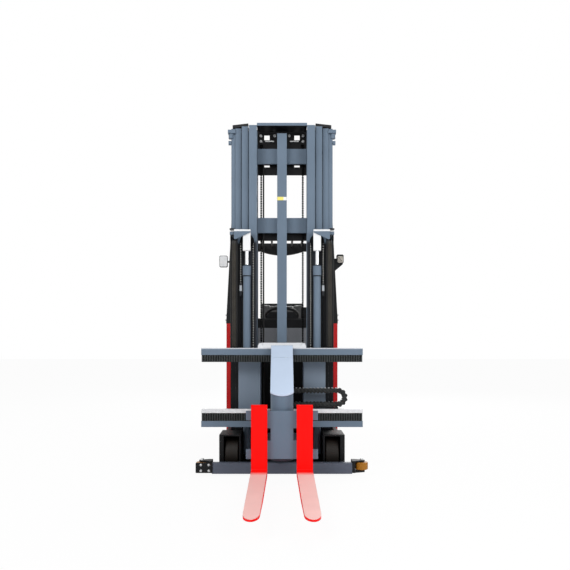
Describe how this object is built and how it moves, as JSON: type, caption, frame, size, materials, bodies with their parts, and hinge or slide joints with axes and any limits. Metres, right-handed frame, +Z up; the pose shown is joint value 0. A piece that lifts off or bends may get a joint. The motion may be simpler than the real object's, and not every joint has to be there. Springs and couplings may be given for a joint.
{
  "type": "narrow aisle forklift",
  "caption": "Seat-on very narrow aisle truck: telescopic mast, rack-guided traverse frame and a turret fork head that shifts and swivels to either side, with a caged cab and counterweight.",
  "frame": {"origin": "on the floor under the middle of the bounding box, forks down and forward", "axes": "+X to the right seen from the front of the truck, +Y to the rear, +Z up; the forks point to -Y"},
  "size_m": [1.248, 4.61, 2.693],
  "materials": {
    "chassis_grey": "satin paint",
    "mast_grey": "satin paint",
    "black_steel": "semi-gloss paint",
    "body_red": "gloss paint",
    "battery_case": "plain",
    "dash_grey": "grained",
    "black_plastic": "grained",
    "seat_vinyl": "grained",
    "ram_rod": "polished",
    "chain_steel": "oiled",
    "yoke_white": "gloss paint",
    "hose_rubber": "matt",
    "pale_cover": "gloss paint",
    "rack_steel": "machined",
    "head_grey": "satin paint",
    "fork_red": "gloss paint",
    "polyurethane": "satin"
  },
  "bodies": {
    "chassis": {"chassis_frame": "chassis_grey", "side_members": "chassis_grey", "outer_rails": "mast_grey", "outer_crossmembers": "black_steel", "main_barrels": "mast_grey", "guide_brackets": "chassis_grey", "counterweight": "body_red", "rear_hood": "body_red", "battery": "battery_case", "body_sides": "body_red", "cab_cowl": "dash_grey", "cab_floor": "black_plastic", "battery_hood": "black_plastic", "dashboard": "black_plastic", "seat_base": "black_plastic", "seat_cushions": "seat_vinyl", "control_arm": "black_plastic", "pedals": "black_plastic", "steering_column": "black_plastic", "steering_wheel": "black_plastic", "overhead_guard": "black_steel", "mirrors": "black_plastic", "work_lamp": "black_plastic"},
    "middle_mast": {"middle_rails": "mast_grey", "middle_crossmembers": "black_steel", "main_rods": "ram_rod", "mast_sheaves": "chain_steel", "mast_chains": "chain_steel"},
    "inner_mast": {"inner_rails": "mast_grey", "inner_crossmembers": "mast_grey", "hose_duct": "mast_grey", "ram_barrels": "mast_grey", "chain_anchors": "mast_grey"},
    "crosshead": {"ram_rods": "ram_rod", "ram_yokes": "yoke_white", "chain_sheaves": "chain_steel", "yoke_brackets": "mast_grey", "anchor_chains": "chain_steel", "carriage_chains": "chain_steel", "lift_hoses": "hose_rubber"},
    "carriage": {"carriage_plates": "mast_grey", "carriage_cover": "pale_cover", "traverse_beams": "mast_grey", "traverse_racks": "rack_steel", "guide_track": "rack_steel", "energy_chain": "black_plastic", "carriage_brackets": "black_steel"},
    "head": {"head_frame": "chassis_grey", "head_housing": "head_grey", "head_cover": "pale_cover"},
    "traverse_pinions": {"traverse_pinions": "rack_steel"},
    "turret": {"turret_column": "black_steel", "fork_carriage": "head_grey", "forks": "fork_red"},
    "load_wheel_left": {"load_wheel_left": "polyurethane"},
    "load_wheel_right": {"load_wheel_right": "polyurethane"},
    "drive_unit": {"drive_unit": "chassis_grey"},
    "drive_wheel": {"drive_wheel": "polyurethane"},
    "guide_roller_left": {"guide_roller_left": "polyurethane"},
    "guide_roller_right": {"guide_roller_right": "polyurethane"}
  },
  "joints": [
    {"name": "mast_lift", "type": "slide", "parent": "chassis", "child": "middle_mast", "axis": [0, 0, 1], "range_m": [0, 1.85], "deforming": ["mast_chains"]},
    {"name": "inner_lift", "type": "slide", "parent": "middle_mast", "child": "inner_mast", "axis": [0, 0, 1], "range_m": [0, 1.85], "deforming": ["mast_chains"]},
    {"name": "free_lift", "type": "slide", "parent": "inner_mast", "child": "carriage", "axis": [0, 0, 1], "range_m": [0, 1.6], "deforming": ["anchor_chains", "carriage_chains", "lift_hoses"]},
    {"name": "yoke_lift", "type": "slide", "parent": "inner_mast", "child": "crosshead", "axis": [0, 0, 1], "range_m": [0, 0.8], "deforming": ["anchor_chains", "carriage_chains", "lift_hoses"]},
    {"name": "traverse", "type": "slide", "parent": "carriage", "child": "head", "axis": [1, 0, 0], "range_m": [-0.5, 0.5]},
    {"name": "pinion_turn", "type": "hinge", "parent": "head", "child": "traverse_pinions", "pos_m": [0, -0.6571, 0.6], "axis": [0, 0, 1], "range_deg": [-800, 800]},
    {"name": "fork_swivel", "type": "hinge", "parent": "head", "child": "turret", "pos_m": [0, -0.988, 0.3], "axis": [0, 0, 1], "range_deg": [-90, 90]},
    {"name": "load_wheel_left_spin", "type": "hinge", "parent": "chassis", "child": "load_wheel_left", "pos_m": [0.375, -0.494, 0.125], "axis": [1, 0, 0], "continuous": true},
    {"name": "load_wheel_right_spin", "type": "hinge", "parent": "chassis", "child": "load_wheel_right", "pos_m": [-0.375, -0.494, 0.125], "axis": [1, 0, 0], "continuous": true},
    {"name": "drive_steer", "type": "hinge", "parent": "chassis", "child": "drive_unit", "pos_m": [0, 1.655, 0.47], "axis": [0, 0, 1], "range_deg": [-90, 90]},
    {"name": "drive_spin", "type": "hinge", "parent": "drive_unit", "child": "drive_wheel", "pos_m": [0, 1.655, 0.2], "axis": [1, 0, 0], "continuous": true},
    {"name": "guide_roller_left_spin", "type": "hinge", "parent": "chassis", "child": "guide_roller_left", "pos_m": [0.578, -0.723, 0.072], "axis": [0, 0, 1], "continuous": true},
    {"name": "guide_roller_right_spin", "type": "hinge", "parent": "chassis", "child": "guide_roller_right", "pos_m": [-0.578, -0.723, 0.072], "axis": [0, 0, 1], "continuous": true}
  ],
  "couplings": [
    {"joint": "inner_lift", "follows": "mast_lift", "ratio": 1},
    {"joint": "yoke_lift", "follows": "free_lift", "ratio": 0.5},
    {"joint": "pinion_turn", "follows": "traverse", "rad_per_m": 27.778}
  ]
}
